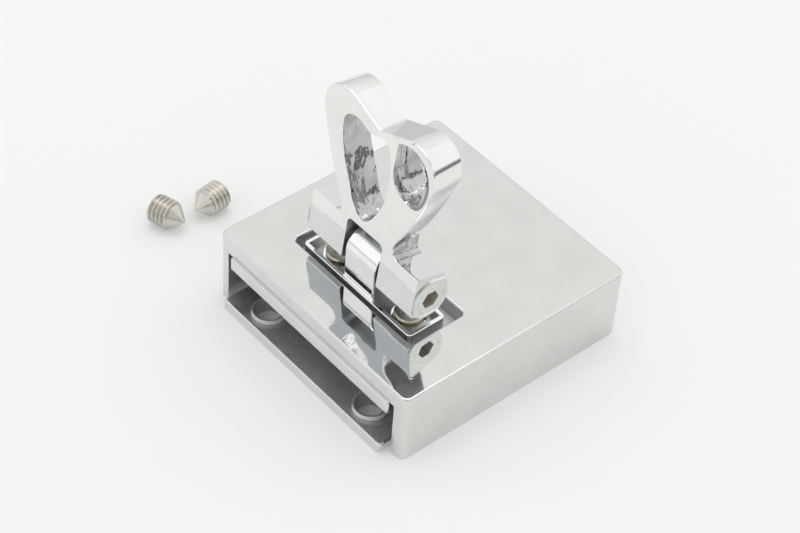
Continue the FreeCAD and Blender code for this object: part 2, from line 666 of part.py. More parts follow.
low_touch = touch(toe_out, toe_up, 1.0)
back_touch = touch(heel_out, heel_up, -1.0)
brow = (-front_offset.number, cell("arm_top").number)
barrel = arc(arms, (0.0, 0.0), arm_radius.number, low_touch, back_touch)
back_line = line(arms, back_touch, (heel_out.number, heel_up.number))
top_line = line(arms, (heel_out.number, heel_up.number), brow)
front_line = line(arms, brow, (toe_out.number, toe_up.number))
toe_line = line(arms, (toe_out.number, toe_up.number), low_touch)
arms.addConstraint(Sketcher.Constraint("Coincident", barrel, 3, -1, 1))
arms.addConstraint(Sketcher.Constraint("Tangent", barrel, 2, back_line, 1))
arms.addConstraint(Sketcher.Constraint("Coincident", back_line, 2, top_line, 1))
arms.addConstraint(Sketcher.Constraint("Coincident", top_line, 2, front_line, 1))
arms.addConstraint(Sketcher.Constraint("Coincident", front_line, 2, toe_line, 1))
arms.addConstraint(Sketcher.Constraint("Tangent", toe_line, 2, barrel, 1))
radius(arms, barrel, arm_radius)
fix(arms, top_line, 1, heel_out, heel_up)
fix(arms, front_line, 1, -front_offset, cell("arm_top"))
fix(arms, toe_line, 1, toe_out, toe_up)
pad(head, "arm_block", arms, cell("arm_half") * 2.0, middle=True)

notch = new_sketch(head, "notch", "XZ_Plane")
rectangle(notch, -notch_half, notch_half, -7.0, notch_up)
pocket(head, "notch_cut", notch, Size(16.0, "16.0"), middle=True)
dress(head, "Fillet", "notch_corners", cell("notch_corner"),
      lambda edge: along(edge, Y_AXIS) and near(middle_of(edge).z, notch_up.number))

threads = new_sketch(head, "arm_threads", "YZ_Plane")
circle(threads, 0.0, 0.0, cell("arm_bore"))
pocket(head, "arm_thread_cut", threads, cell("arm_half") * 2.0 + 2.0, middle=True)

# Step on each end face: the pad round the screw stands a little proud of the upper front corner
slope = math.radians(cell("arm_slope").number)
pad_radius = cell("arm_pad").number
crest = (pad_radius * math.sin(slope), pad_radius * math.cos(slope))
far = (7.0, crest[1] - (7.0 - crest[0]) * math.tan(slope))
for name, flip, sign in (("left", True, -1.0), ("right", False, 1.0)):
    step = new_sketch(head, "end_step_" + name, "YZ_Plane", cell("arm_half") * sign)
    route = [crest, far, (7.0, 8.0), (-7.0, 8.0), (-7.0, -7.0), (0.0, -7.0), (0.0, -pad_radius)]
    for start, end in zip(route, route[1:]):
        line(step, start, end)
    rounded = arc(step, (0.0, 0.0), pad_radius, crest, (0.0, -pad_radius))
    for index in range(5):
        step.addConstraint(Sketcher.Constraint("Coincident", index, 2, index + 1, 1))
    step.addConstraint(Sketcher.Constraint("Coincident", 5, 2, rounded, 2))
    step.addConstraint(Sketcher.Constraint("Tangent", 0, 1, rounded, 1))
    step.addConstraint(Sketcher.Constraint("Coincident", rounded, 3, -1, 1))
    radius(step, rounded, cell("arm_pad"))
    pocket(head, "end_step_cut_" + name, step, cell("arm_step"), flip=flip)

# Rounding of the head, in its own frame


def waist_edge(edge):
    spot = middle_of(edge)
    if not near(abs(spot.x), cell("waist_across").number, cell("plate_draft").number * 2.0):
        return False
    at_arm = heel_up.number - 0.35 < spot.z < cell("arm_top").number + 0.3
    return at_arm and edge.BoundBox.YLength > cell("plate_thick").number / 2.0


shin_height = (as_size(heel_height) - cell("arm_top")) * 0.95
dress(head, "Fillet", "waist_round", smaller(cell("waist_radius"), shin_height), waist_edge)


def is_eye(edge):
    """An edge of an opening: its curve, or the straight side of the right one."""
    spot = middle_of(edge)
    if isinstance(edge.Curve, Part.BSplineCurve) and edge.Length > cell("plate_thick").number * 2.0:
        return True
    straight = (spots[0] + spots[-1]) * 0.5
    return near(spot.x, straight.x, 0.2) and near(spot.z, straight.y, 0.2)


def outline_edge(edge, depth, top):
    """An edge of the heart or the arms in the plane at this depth, from its arm line upwards."""
    box = edge.BoundBox
    spot = middle_of(edge)
    if not (near(box.YMin, depth) and near(box.YMax, depth)) or is_eye(edge) or spot.z < top - 0.1:
        return False
    under_notch = abs(spot.x) < notch_half.number + 0.1 and spot.z < notch_up.number + 0.2
    kink = near(spot.z, top) and abs(spot.x) < cell("waist_across").number + cell("waist_radius").number - 0.05
    return not under_notch and not kink


dress(head, "Chamfer", "left_eye_edges", cell("left_eye_edge"),
      lambda edge: is_eye(edge) and edge.isClosed())
dress(head, "Chamfer", "heart_front_edges", cell("plate_edge"),
      lambda edge: outline_edge(edge, -front_offset.number, cell("arm_top").number))
dress(head, "Fillet", "arm_toe_edges", cell("arm_edge"),
      lambda edge: along(edge, X_AXIS) and edge.Length > 3.0 and near(middle_of(edge).z, toe_up.number))

head.Placement = FreeCAD.Placement(vec(0, pivot_along.number, pivot_height.number),
                                   FreeCAD.Rotation(X_AXIS, -cell("lean").number))
doc.recompute()

# Screws


def hexagon(sketch, width):
    reach = width.number / math.sqrt(3.0)
    ring = [(reach * math.cos(math.radians(60.0 * step)), reach * math.sin(math.radians(60.0 * step)))
            for step in range(6)]
    for index in range(6):
        line(sketch, ring[index], ring[(index + 1) % 6])
    for index in range(6):
        sketch.addConstraint(Sketcher.Constraint("Coincident", index, 2, (index + 1) % 6, 1))
    for index in range(1, 6):
        sketch.addConstraint(Sketcher.Constraint("Equal", 0, index))
    rim_circle = sketch.addGeometry(Part.Circle(vec(0, 0), vec(0, 0, 1), reach), True)
    for index in range(6):
        sketch.addConstraint(Sketcher.Constraint("PointOnObject", index, 1, rim_circle))
    sketch.addConstraint(Sketcher.Constraint("Coincident", rim_circle, 3, -1, 1))
    sketch.addConstraint(Sketcher.Constraint("PointOnObject", 0, 1, -1))
    index = sketch.addConstraint(Sketcher.Constraint("Radius", rim_circle, reach))
    sketch.setExpression("Constraints[%d]" % index, "%s / sqrt(3)" % width.text)


def cap_screw(label, across):
    """Low round-headed screw that holds the hinge base down; its frame lies on the head's seat."""
    body = new_body(label)
    profile = new_sketch(body, label + "_profile", "XZ_Plane")
    shank = cell("base_screw_shank")
    head_radius = cell("base_screw_head")
    tall = cell("base_screw_tall")
    depth = screw_seat - slot_top
    polygon(profile, [
        (0.0, -depth), (shank - 0.3, -depth), (shank, -depth + 0.3),
        (shank, 0.0), (head_radius, 0.0), (head_radius, tall - 0.25), (head_radius - 0.25, tall), (0.0, tall),
    ])
    revolve(body, label + "_turned", profile, "V_Axis")
    key = new_sketch(body, label + "_key", "XY_Plane", tall)
    hexagon(key, cell("base_screw_key"))
    pocket(body, label + "_socket", key, cell("base_screw_deep"))
    body.Placement = FreeCAD.Placement(vec(across.number, pivot_along.number, screw_seat.number),
                                       FreeCAD.Rotation())
    return body


cap_screw("base_screw_left", -screw_across)
cap_screw("base_screw_right", screw_across)


def pivot_screw(label, turn):
    """Dog-point set screw; its frame lies on the pivot, with the socket towards +X."""
    body = new_body(label)
    profile = new_sketch(body, label + "_profile", "XZ_Plane")
    out = cell("arm_half")
    neck = notch_half + cell("pivot_screw_neck")
    tip = cell("lug_width") * 0.5 - cell("pivot_screw_grip")
    dog = cell("pivot_bore") - cell("pivot_screw_play")
    thread = cell("arm_bore")
    polygon(profile, [
        (tip, 0.0), (tip, dog - 0.25), (tip + 0.25, dog), (neck, dog), (neck + 0.5, thread),
        (out - 0.06, thread), (out, thread - 0.06), (out, 0.0),
    ])
    revolve(body, label + "_turned", profile, "H_Axis")
    key = new_sketch(body, label + "_key", "YZ_Plane", out)
    hexagon(key, cell("pivot_screw_key"))
    pocket(body, label + "_socket", key, cell("pivot_screw_deep"))
    body.Placement = FreeCAD.Placement(head.Placement.Base, head.Placement.Rotation.multiply(
        FreeCAD.Rotation(Y_AXIS, turn)))
    return body


pivot_screw("pivot_screw_right", 0.0)
pivot_screw("pivot_screw_left", 180.0)


def grub_screw(label, across, along_y, turn):
    """Cone-point set screw lying on its side; its frame lies on the tip, with the socket at +X."""
    body = new_body(label)
    profile = new_sketch(body, label + "_profile", "XZ_Plane")
    length = cell("grub_length")
    crest_radius = cell("grub_radius")
    cone = cell("grub_cone")
    route = [
        (0.0, 0.0), (0.0, cell("grub_tip")), (cone, crest_radius - 0.2), (cone + 0.2, crest_radius),
        (length - 0.3, crest_radius), (length, crest_radius - 0.3), (length, 0.0),
    ]
    polygon(profile, route)
    revolve(body, label + "_turned", profile, "H_Axis")
    key = new_sketch(body, label + "_key", "YZ_Plane", length)
    hexagon(key, cell("grub_key"))
    pocket(body, label + "_socket", key, cell("grub_deep"))
    body.Placement = FreeCAD.Placement(vec(across.number, along_y.number, crest_radius.number),
                                       FreeCAD.Rotation(Z_AXIS, turn.number))
    return body


grub_screw("clamp_screw_left", cell("grub_first_across"), cell("grub_first_along"), cell("grub_first_turn"))
grub_screw("clamp_screw_right", cell("grub_second_across"), cell("grub_second_along"), cell("grub_second_turn"))
doc.recompute()

# Checks, then one file for each piece

problems = []
for item in doc.Objects:
    for word in ("Invalid", "Error"):
        if word in item.State:
            problems.append("%s is %s" % (item.Label, word))

PIECES = [
    "cover", "clamp_body", "hinge_base", "locking_head", "pivot_screw_left", "pivot_screw_right",
    "base_screw_left", "base_screw_right", "clamp_screw_left", "clamp_screw_right",
]
shapes = {}
for label in PIECES:
    found = doc.getObjectsByLabel(label)
    shape = found[0].Shape
    if shape.isNull() or not shape.isValid() or len(shape.Solids) != 1:
        problems.append("%s has no single valid solid" % label)
    shapes[label] = shape
if problems:
    raise RuntimeError("; ".join(problems))

os.makedirs("parts", exist_ok=True)
for label, shape in shapes.items():
    shape.exportStep("parts/%s.step" % label)
    box = shape.BoundBox
    print("%-18s %8.1f mm3  x %6.2f %6.2f  y %6.2f %6.2f  z %6.2f %6.2f" % (
        label, shape.Volume, box.XMin, box.XMax, box.YMin, box.YMax, box.ZMin, box.ZMax))
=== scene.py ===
"""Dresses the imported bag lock: plated pieces over its CAD frame, two screws and a pale studio."""

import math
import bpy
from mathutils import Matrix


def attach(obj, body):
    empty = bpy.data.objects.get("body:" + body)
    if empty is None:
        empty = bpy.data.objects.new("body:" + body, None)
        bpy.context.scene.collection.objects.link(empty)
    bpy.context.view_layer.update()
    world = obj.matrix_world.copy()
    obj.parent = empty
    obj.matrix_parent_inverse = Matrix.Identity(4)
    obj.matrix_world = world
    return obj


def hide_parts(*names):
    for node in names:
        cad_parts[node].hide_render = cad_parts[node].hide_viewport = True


bl_info = {
    "name": "Flip-head Bag Lock",
    "version": (1, 0, 0),
    "blender": (4, 5, 0),
    "location": "3D View > Sidebar > Bag Lock",
    "description": "Dresses a chromed bag lock with a pierced heart-shaped head",
    "category": "Object",
}

import bmesh
import bpy
from bpy.props import FloatProperty, FloatVectorProperty, PointerProperty
from mathutils import Matrix, Vector

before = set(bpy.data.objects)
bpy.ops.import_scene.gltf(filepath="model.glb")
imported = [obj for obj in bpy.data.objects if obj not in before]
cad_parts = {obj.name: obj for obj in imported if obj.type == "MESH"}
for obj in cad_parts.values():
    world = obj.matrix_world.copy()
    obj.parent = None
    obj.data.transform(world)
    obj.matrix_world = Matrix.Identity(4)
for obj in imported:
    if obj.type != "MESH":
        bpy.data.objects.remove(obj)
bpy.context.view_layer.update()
MM = 0.001


# Sizes, finishes and studio settings


class BagLockFinish(bpy.types.PropertyGroup):
    """Colours and gloss of the plated surfaces."""

    chrome_colour: FloatVectorProperty(
        name="Chrome colour", description="Reflected colour of the bright plating",
        subtype="COLOR", size=3, min=0.0, max=1.0, default=(0.755, 0.76, 0.75))
    chrome_roughness: FloatProperty(
        name="Chrome roughness", description="Blur of the reflections in the bright plating",
        subtype="FACTOR", min=0.0, max=1.0, default=0.045)
    nickel_colour: FloatVectorProperty(
        name="Nickel colour", description="Reflected colour of the screws",
        subtype="COLOR", size=3, min=0.0, max=1.0, default=(0.74, 0.71, 0.65))
    nickel_roughness: FloatProperty(
        name="Nickel roughness", description="Blur of the reflections in the screws",
        subtype="FACTOR", min=0.0, max=1.0, default=0.28)
    # Darkens the unpolished inner faces: painted shade in the recesses and gaps
    inner_painted_shade: FloatProperty(
        name="Satin shade", description="Reflected share on the unpolished inner faces",
        subtype="FACTOR", min=0.0, max=1.0, default=0.56)
    satin_roughness: FloatProperty(
        name="Satin roughness", description="Blur of the reflections on the unpolished inner faces",
        subtype="FACTOR", min=0.0, max=1.0, default=0.45)
    crease_angle: FloatProperty(
        name="Crease angle", description="Edges bent by more than this stay sharp",
        subtype="ANGLE", default=math.radians(50.0))


class BagLockScrews(bpy.types.PropertyGroup):
    """Sizes of the two loose cone-point set screws."""

    length: FloatProperty(
        name="Length", description="From the cone point to the socket end",
        subtype="DISTANCE", unit="LENGTH", default=6.4 * MM)
    radius: FloatProperty(
        name="Outer radius", description="Half the thread's outer diameter",
        subtype="DISTANCE", unit="LENGTH", default=2.5 * MM)
    pitch: FloatProperty(
        name="Pitch", description="Distance between two turns of the thread",
        subtype="DISTANCE", unit="LENGTH", default=0.8 * MM)
    thread_depth: FloatProperty(
        name="Thread depth", description="From the crest to the root",
        subtype="DISTANCE", unit="LENGTH", default=0.48 * MM)
    cone: FloatProperty(
        name="Cone length", description="Length of the cone point, at full radius",
        subtype="DISTANCE", unit="LENGTH", default=2.8 * MM)
    socket_width: FloatProperty(
        name="Socket width", description="Across the flats of the hexagon socket",
        subtype="DISTANCE", unit="LENGTH", default=2.5 * MM)
    socket_depth: FloatProperty(
        name="Socket depth", description="Depth of the hexagon socket",
        subtype="DISTANCE", unit="LENGTH", default=2.2 * MM)


class BagLockStudio(bpy.types.PropertyGroup):
    """Camera, floor and light."""

    target: FloatVectorProperty(
        name="Target", description="Point in the middle of the view",
        subtype="XYZ", unit="LENGTH", size=3, default=(-4.88 * MM, 0.05 * MM, 6.0 * MM))
    azimuth: FloatProperty(
        name="Azimuth", description="Camera's angle round the object",
        subtype="ANGLE", default=math.radians(46.64))
    elevation: FloatProperty(
        name="Elevation", description="Camera's angle over the floor",
        subtype="ANGLE", default=math.radians(44.87))
    roll: FloatProperty(
        name="Roll", description="Camera's turn about its own axis",
        subtype="ANGLE", default=math.radians(4.54))
    distance: FloatProperty(
        name="Distance", description="From the camera to the target",
        subtype="DISTANCE", unit="LENGTH", default=0.36538)
    lens: FloatProperty(
        name="Lens", description="Focal length in millimetres on a 36 mm sensor",
        unit="CAMERA", default=103.5)
    floor_colour: FloatVectorProperty(
        name="Floor colour", description="Colour of the floor and backdrop",
        subtype="COLOR", size=3, min=0.0, max=1.0, default=(0.865, 0.873, 0.856))
    floor_glow: FloatProperty(
        name="Floor evenness", description="Share of the floor's colour that takes no shadow",
        subtype="FACTOR", min=0.0, max=1.0, default=0.3)
    floor_width: FloatProperty(
        name="Floor width", description="Side of the square floor",
        subtype="DISTANCE", unit="LENGTH", default=3.0)
    lamp_power: FloatProperty(
        name="Lamp power", description="Power of the overhead softbox",
        unit="POWER", default=1.05)


# Node helpers


# Sockets that a Mix node of colours uses
MIX_FACTOR, MIX_BELOW, MIX_ABOVE, MIX_RESULT = 0, 6, 7, 2


def feed(tree, socket, value):
    """Links a node's output to the socket, or sets a plain value on it."""
    if isinstance(value, bpy.types.NodeSocket):
        tree.links.new(value, socket)
    else:
        socket.default_value = value


def add_node(tree, kind, **values):
    """Adds a node; a value named like a socket goes to that socket, any other is a setting."""
    node = tree.nodes.new(kind)
    for key, value in values.items():
        label = key.replace("_", " ")
        if label in node.inputs:
            feed(tree, node.inputs[label], value)
        else:
            setattr(node, key, value)
    return node


def calc(tree, operation, *values, clamp=False):
    """The result of one Math node."""
    node = add_node(tree, "ShaderNodeMath", operation=operation, use_clamp=clamp)
    for socket, value in zip(node.inputs, values):
        feed(tree, socket, value)
    return node.outputs[0]


def smooth_step(tree, value, low, high):
    """0 below low, 1 above high and smooth between; a falling step where low is above high."""
    return add_node(tree, "ShaderNodeMapRange", interpolation_type="SMOOTHSTEP", Value=value,
                    From_Min=low, From_Max=high).outputs["Result"]


def colour_ramp(tree, factor, stops):
    """A ColorRamp with a grey or a colour at each stop."""
    node = add_node(tree, "ShaderNodeValToRGB", Fac=factor)
    band = node.color_ramp
    while len(band.elements) < len(stops):
        band.elements.new(1.0)
    for element, (place, colour) in zip(band.elements, stops):
        element.position = place
        colour = (colour,) * 3 if isinstance(colour, float) else colour
        element.color = (*colour, 1.0)
    return node.outputs["Color"]


def layered(tree, below, colour, mask):
    """A colour laid over another where the mask is 1."""
    node = add_node(tree, "ShaderNodeMix", data_type="RGBA")
    feed(tree, node.inputs[MIX_FACTOR], mask)
    feed(tree, node.inputs[MIX_BELOW], below)
    feed(tree, node.inputs[MIX_ABOVE], (*colour, 1.0))
    return node.outputs[MIX_RESULT]


def blended(tree, share, below, above):
    """A shader that goes from one to another as the share goes from 0 to 1."""
    node = add_node(tree, "ShaderNodeMixShader", Fac=share)
    feed(tree, node.inputs[1], below.outputs[0])
    feed(tree, node.inputs[2], above.outputs[0])
    return node.outputs[0]


def noise(tree, place, scale, detail, roughness):
    return add_node(tree, "ShaderNodeTexNoise", Vector=place, Scale=scale, Detail=detail,
                    Roughness=roughness).outputs["Fac"]


def bumped(tree, height, distance, strength, **normal):
    """The normal of a bump, over another bump's normal if one is given."""
    return add_node(tree, "ShaderNodeBump", Height=height, Distance=distance, Strength=strength,
                    **normal).outputs["Normal"]


def new_material(name):
    """An empty material and its node tree."""
    material = bpy.data.materials.new(name)
    material.use_nodes = True
    material.node_tree.nodes.clear()
    return material, material.node_tree


# Finishes


# Textures of the plating, in repeats to the metre
GRAIN_SCALE = 900.0
PIT_SCALE = 620.0
CLOUD_SCALE = 160.0
ROLL_SCALE = 170.0
GRAIN_HEIGHT = 0.01 * MM
GRAIN_STRENGTH = 0.05
PIT_HEIGHT = 0.02 * MM

# Middle, reach and height of the uneven patch on the cover, near its front right corner
COVER_SWELL = ((13.0 * MM, -18.0 * MM, 13.3 * MM), 11.0 * MM, 0.12 * MM)
SWELL_CORE = 0.3


def plating(name, colour, roughness, wave=0.35, pits=0.35, spread=0.5, mottle=0.06,
            wave_size=70.0, wave_height=0.06 * MM, metal=1.0, stretch=1.0, swell=None):
    """Electroplating: slow waves of the cast surface, fine pits, and a gloss that varies a little.

    Stretch below 1 draws the waves out along Z.
    """
    material, tree = new_material(name)
    place = add_node(tree, "ShaderNodeTexCoord").outputs["Object"]
    clouds = noise(tree, place, CLOUD_SCALE, 4.0, 0.6)

    drawn = add_node(tree, "ShaderNodeMapping", Vector=place, Scale=(1.0, 1.0, stretch)).outputs[0]
    waves = noise(tree, drawn, wave_size, 2.0, 0.45)
    normal = bumped(tree, waves, wave_height, wave)
    if swell:
        centre, reach, height = swell
        away = add_node(tree, "ShaderNodeVectorMath", operation="DISTANCE")
        feed(tree, away.inputs[0], place)
        feed(tree, away.inputs[1], centre)
        patch = smooth_step(tree, away.outputs["Value"], reach, reach * SWELL_CORE)
        rolls = noise(tree, place, ROLL_SCALE, 1.0, 0.4)
        normal = bumped(tree, rolls, calc(tree, "MULTIPLY", patch, height), 1.0, Normal=normal)
    grain = noise(tree, place, GRAIN_SCALE, 3.0, 0.6)
    normal = bumped(tree, grain, GRAIN_HEIGHT, GRAIN_STRENGTH, Normal=normal)
    spots = add_node(tree, "ShaderNodeTexVoronoi", Vector=place, Scale=PIT_SCALE, Randomness=1.0)
    pit = colour_ramp(tree, spots.outputs["Distance"], [(0.0, 0.0), (0.10, 0.55), (0.2, 1.0)])
    unpitted = colour_ramp(tree, clouds, [(0.45, 1.0), (0.62, 0.0)])
    normal = bumped(tree, calc(tree, "MAXIMUM", pit, unpitted), PIT_HEIGHT, pits, Normal=normal)

    dull = (*shaded(colour, 1.0 - mottle), 1.0)
    shade = layered(tree, dull, colour, colour_ramp(tree, clouds, [(0.35, 0.0), (0.68, 1.0)]))
    gloss = add_node(tree, "ShaderNodeMapRange", Value=clouds, From_Min=0.35, From_Max=0.7,
                     To_Min=roughness * (1.0 - spread), To_Max=roughness * (1.0 + spread))
    shader = add_node(tree, "ShaderNodeBsdfPrincipled", Metallic=metal, Base_Color=shade,
                      Roughness=gloss.outputs["Result"], Normal=normal)
    add_node(tree, "ShaderNodeOutputMaterial", Surface=shader.outputs["BSDF"])
    return material


def shaded(colour, share):
    """A colour times a share, or times a share for each channel."""
    shares = (share,) * 3 if isinstance(share, float) else share
    return tuple(channel * part for channel, part in zip(colour, shares))


def finish(name):
    """The finish of that name, made once."""
    if name in bpy.data.materials:
        return bpy.data.materials[name]
    look = bpy.context.scene.bag_lock_finish
    chrome, bright = tuple(look.chrome_colour), look.chrome_roughness
    nickel, worn = tuple(look.nickel_colour), look.nickel_roughness
    satin = look.satin_roughness
    finishes = {
        "cover_plating": dict(
            colour=chrome, roughness=bright, wave=0.10, pits=0.30, swell=COVER_SWELL),
        "clamp_plating": dict(
            colour=chrome, roughness=bright * 1.6, wave=0.2, pits=0.45),
        # A brighter copy of the chrome: painted light on the head and its pivot screws
        "lit_head_plating": dict(
            colour=shaded(chrome, 1.165), roughness=bright, wave=0.3, pits=0.15, wave_size=110.0),
        # A still brighter copy of the chrome: painted light on the lug and the tray
        "lit_lug_plating": dict(
            colour=shaded(chrome, 1.24), roughness=bright, wave=0.3, pits=0.15, wave_size=110.0),
        # Rough cast walls: real waves and pits, in a darker copy of the chrome that paints shade
        # into the openings and hollows
        "shaded_cast_wall_plating": dict(
            colour=shaded(chrome, 0.84), roughness=bright * 2.0, wave=1.0, pits=0.6, mottle=0.35,
            wave_size=620.0, wave_height=0.42 * MM, stretch=0.28),
        # Unpolished inner faces, darker and a little blue: painted shade in the cover's hollow, the
        # window, the bores, the notch, the tray's sides and the ledges round the arms' pads
        "shaded_inside_satin": dict(
            colour=shaded((0.98, 1.0, 1.04), look.inner_painted_shade), roughness=satin, wave=0.1,
            pits=0.5, spread=0.2, mottle=0.10),
        # Dim bluish grey on the arms' under sides: painted shade with a bluish tint
        "shaded_belly_satin": dict(
            colour=(0.80, 0.815, 0.835), roughness=satin, wave=0.3, pits=0.3, spread=0.2,
            mottle=0.16),
        # Dark grey, half metal: painted shade on the lower leaf deep in the slot and on the tray's
        # floor
        "shaded_leaf_plating": dict(
            colour=(0.49, 0.495, 0.485), roughness=0.28, wave=0.3, pits=0.2, spread=0.2,
            mottle=0.12, metal=0.85),
        # Dark bluish grey under the right lobe: painted shade, which also dims the softbox's
        # reflection there
        "shaded_under_plating": dict(
            colour=(0.40, 0.41, 0.435), roughness=0.16, wave=0.6, pits=0.2, mottle=0.15,
            wave_size=240.0),
        # Dark grey on the rounded edge of the right opening: painted shade
        "shaded_flare_plating": dict(
            colour=(0.36, 0.36, 0.35), roughness=0.25, wave=0.5, pits=0.2, mottle=0.3,
            wave_size=300.0),
        "slot_roof": dict(
            colour=(0.78, 0.78, 0.77), roughness=0.6, wave=0.1, pits=0.3, spread=0.1,
            mottle=0.06, metal=0.0),
        "socket_brown": dict(
            colour=(0.62, 0.575, 0.51), roughness=0.4, wave=0.3, pits=0.4, spread=0.2,
            mottle=0.2, wave_size=600.0, metal=0.5),
        # The nickel made darker and browner: painted shade from the arms above, with a browner tone
        "shaded_base_screw_nickel": dict(
            colour=shaded(nickel, (0.80, 0.77, 0.70)), roughness=worn, wave=0.5, pits=0.5,
            mottle=0.3, wave_size=500.0),
        "screw_nickel": dict(
            colour=nickel, roughness=worn, wave=0.3, pits=0.5, mottle=0.25, wave_size=400.0),
    }
    return plating(name, **finishes[name])


# Mesh helpers


# Points nearer than this are one point
JOIN_REACH = 2e-6
# Triangles that differ by less than this are one flat
FLAT_ANGLE = math.radians(0.4)
SCREW_CREASE = math.radians(30.0)
THREAD_CREASE = math.radians(32.0)


def merged_mesh(node, name, crease, regions=(), reshape=None):
    """A copy of a CAD node's mesh with its triangles joined, its flats whole and its bends smooth.

    Each region is a test of a triangle's middle and normal. The first that passes gives the
    triangle's material slot. Reshape may add a small detail to the merged form.
    """
    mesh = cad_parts[node].data.copy()
    mesh.name = name
    mesh.materials.clear()
    for attribute in ("custom_normal", "sharp_face", "sharp_edge"):
        if attribute in mesh.attributes:
            mesh.attributes.remove(mesh.attributes[attribute])
    form = bmesh.new()
    form.from_mesh(mesh)
    bmesh.ops.remove_doubles(form, verts=form.verts, dist=JOIN_REACH)
    form.normal_update()
    for face in form.faces:
        passed = (slot for slot, test in enumerate(regions, 1) if test and test(*facet(face)))
        face.material_index = next(passed, 0)
    bmesh.ops.dissolve_limit(form, angle_limit=FLAT_ANGLE, verts=form.verts, edges=form.edges,
                             delimit={"MATERIAL"})
    if reshape:
        reshape(form)
        form.normal_update()
    for face in form.faces:
        face.smooth = True
    for edge in form.edges:
        edge.smooth = len(edge.link_faces) != 2 or edge.calc_face_angle(0.0) < crease
    form.to_mesh(mesh)
    form.free()
    return mesh


def facet(face):
    """The middle of a face in millimetres, and its normal."""
    return face.calc_center_median() / MM, face.normal


def with_even_normals(piece):
    """Weights the piece's corner normals by face area and keeps the result as its plain mesh."""
    weights = piece.modifiers.new("even_normals", "WEIGHTED_NORMAL")
    weights.mode = "FACE_AREA"
    weights.weight = 80
    weights.keep_sharp = True
    return baked(piece)


def baked(piece):
    """Turns the piece's modifiers into its plain mesh."""
    bpy.context.view_layer.update()
    graph = bpy.context.evaluated_depsgraph_get()
    mesh = bpy.data.meshes.new_from_object(
        piece.evaluated_get(graph), preserve_all_data_layers=True, depsgraph=graph)
    old = piece.data
    piece.modifiers.clear()
    piece.data = mesh
    bpy.data.meshes.remove(old)
    mesh.name = piece.name
    return piece


def new_piece(name, mesh):
    piece = bpy.data.objects.new(name, mesh)
    bpy.context.scene.collection.objects.link(piece)
    return piece


def dress_node(node, name, finish_name, body, crease=None, regions=(), reshape=None):
    """Stands a plated piece in for a CAD node; regions are pairs of a finish and a test."""
    crease = bpy.context.scene.bag_lock_finish.crease_angle if crease is None else crease
    tests = [test for _, test in regions]
    piece = new_piece(name, merged_mesh(node, name, crease, tests, reshape))
    for each in [finish_name] + [inner for inner, _ in regions]:
        piece.data.materials.append(finish(each))
    with_even_normals(piece)
    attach(piece, body)
    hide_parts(node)
    return piece


# Places on the base that have a finish of their own, in millimetres; most of these finishes are
# darker and paint shade there. A limit stands just past the face that it is for.


HOLLOW_TOP, HOLLOW_HALF = 10.45, 20.2
WINDOW_LOW, WINDOW_HIGH, WINDOW_HALF = 10.3, 12.95, 14.2
WINDOW_FRONT, WINDOW_BACK = -14.5, -3.5
LEAF_TOP, LEAF_FRONT = 2.0, -24.1
SLOT_TOP, SLOT_HALF, SLOT_FRONT = 8.1, 19.1, -23.5
CLAMP_TOP, CLAMP_FRONT = 10.38, -22.0
BORE_X, BORE_Y, BORE_REACH, BORE_TOP = 12.5, -20.2, 2.5, 2.7
RING_REACH, RING_TOP = 3.0, 3.0
RING_WALL_REACH, RING_WALL_TOP = 3.6, 3.2
TRAY_FLOOR, TRAY_TOP, TRAY_HALF = 12.0, 13.0, 12.7
TRAY_FRONT, TRAY_BACK = -13.5, -6.3
LUG_HALF = 3.6


def inside_cover(spot, normal):
    """The cover's hollow and the walls of its window, darker as painted shade."""
    hollow = spot.z < HOLLOW_TOP and max(abs(spot.x), spot.y) < HOLLOW_HALF and abs(normal.y) < 0.9
    deep = WINDOW_LOW < spot.z < WINDOW_HIGH and abs(spot.x) < WINDOW_HALF
    return hollow or (deep and WINDOW_FRONT < spot.y < WINDOW_BACK)


def from_bore(spot):
    """Distance from the axis of the nearer threaded bore."""
    return math.hypot(abs(spot.x) - BORE_X, spot.y - BORE_Y)


def threaded_bore(spot, normal):
    """Walls of the two threaded bores in the lower leaf, and of their mouths, darker as painted
    shade.
    """
    return from_bore(spot) < BORE_REACH and spot.z < BORE_TOP and abs(normal.z) < 0.5


def ring_wall(spot, normal):
    """Outer walls of the two raised rings on the lower leaf."""
    raised = LEAF_TOP + 0.05 < spot.z < RING_WALL_TOP and abs(normal.z) < 0.6
    return raised and BORE_REACH < from_bore(spot) < RING_WALL_REACH


def leaf_top(spot, normal):
    """Upper face of the lower leaf, darker as painted shade under the upper leaf."""
    return abs(spot.z - LEAF_TOP) < 0.02 and spot.y > LEAF_FRONT and abs(spot.x) < SLOT_HALF


def inside_clamp(spot, normal):
    """The slot's back and roof, and the top that the cover hides."""
    ring = from_bore(spot) < RING_REACH and spot.z < RING_TOP
    slot = LEAF_TOP + 0.02 < spot.z < SLOT_TOP and abs(spot.x) < SLOT_HALF and spot.y > SLOT_FRONT
    return (slot and not ring) or (spot.z > CLAMP_TOP and spot.y > CLAMP_FRONT)


def tray_side(spot, normal):
    """Outer walls of the tray, deep in the window, and the sides of the lug, darker as painted
    shade.
    """
    beside = abs(spot.x) > TRAY_HALF or not TRAY_FRONT <= spot.y <= TRAY_BACK
    return (spot.z < TRAY_TOP and beside) or (abs(normal.x) > 0.9 and abs(spot.x) < LUG_HALF)


def tray_floor(spot, normal):
    """The tray's floor, rougher and darker between the rims: painted shade."""
    return abs(spot.z - TRAY_FLOOR) < 0.1


# Places on the head, in millimetres from its pivot with the head upright; most get a darker finish
# that paints shade there


HEAD_PIVOT = Vector((0.0, -9.6, 18.75))
HEAD_LEAN = Matrix.Rotation(math.radians(4.5), 3, "X")
HEAD_FRONT = -3.1
RIGHT_EYE, RIGHT_EYE_LEFT = (7.05, 21.6), 3.6
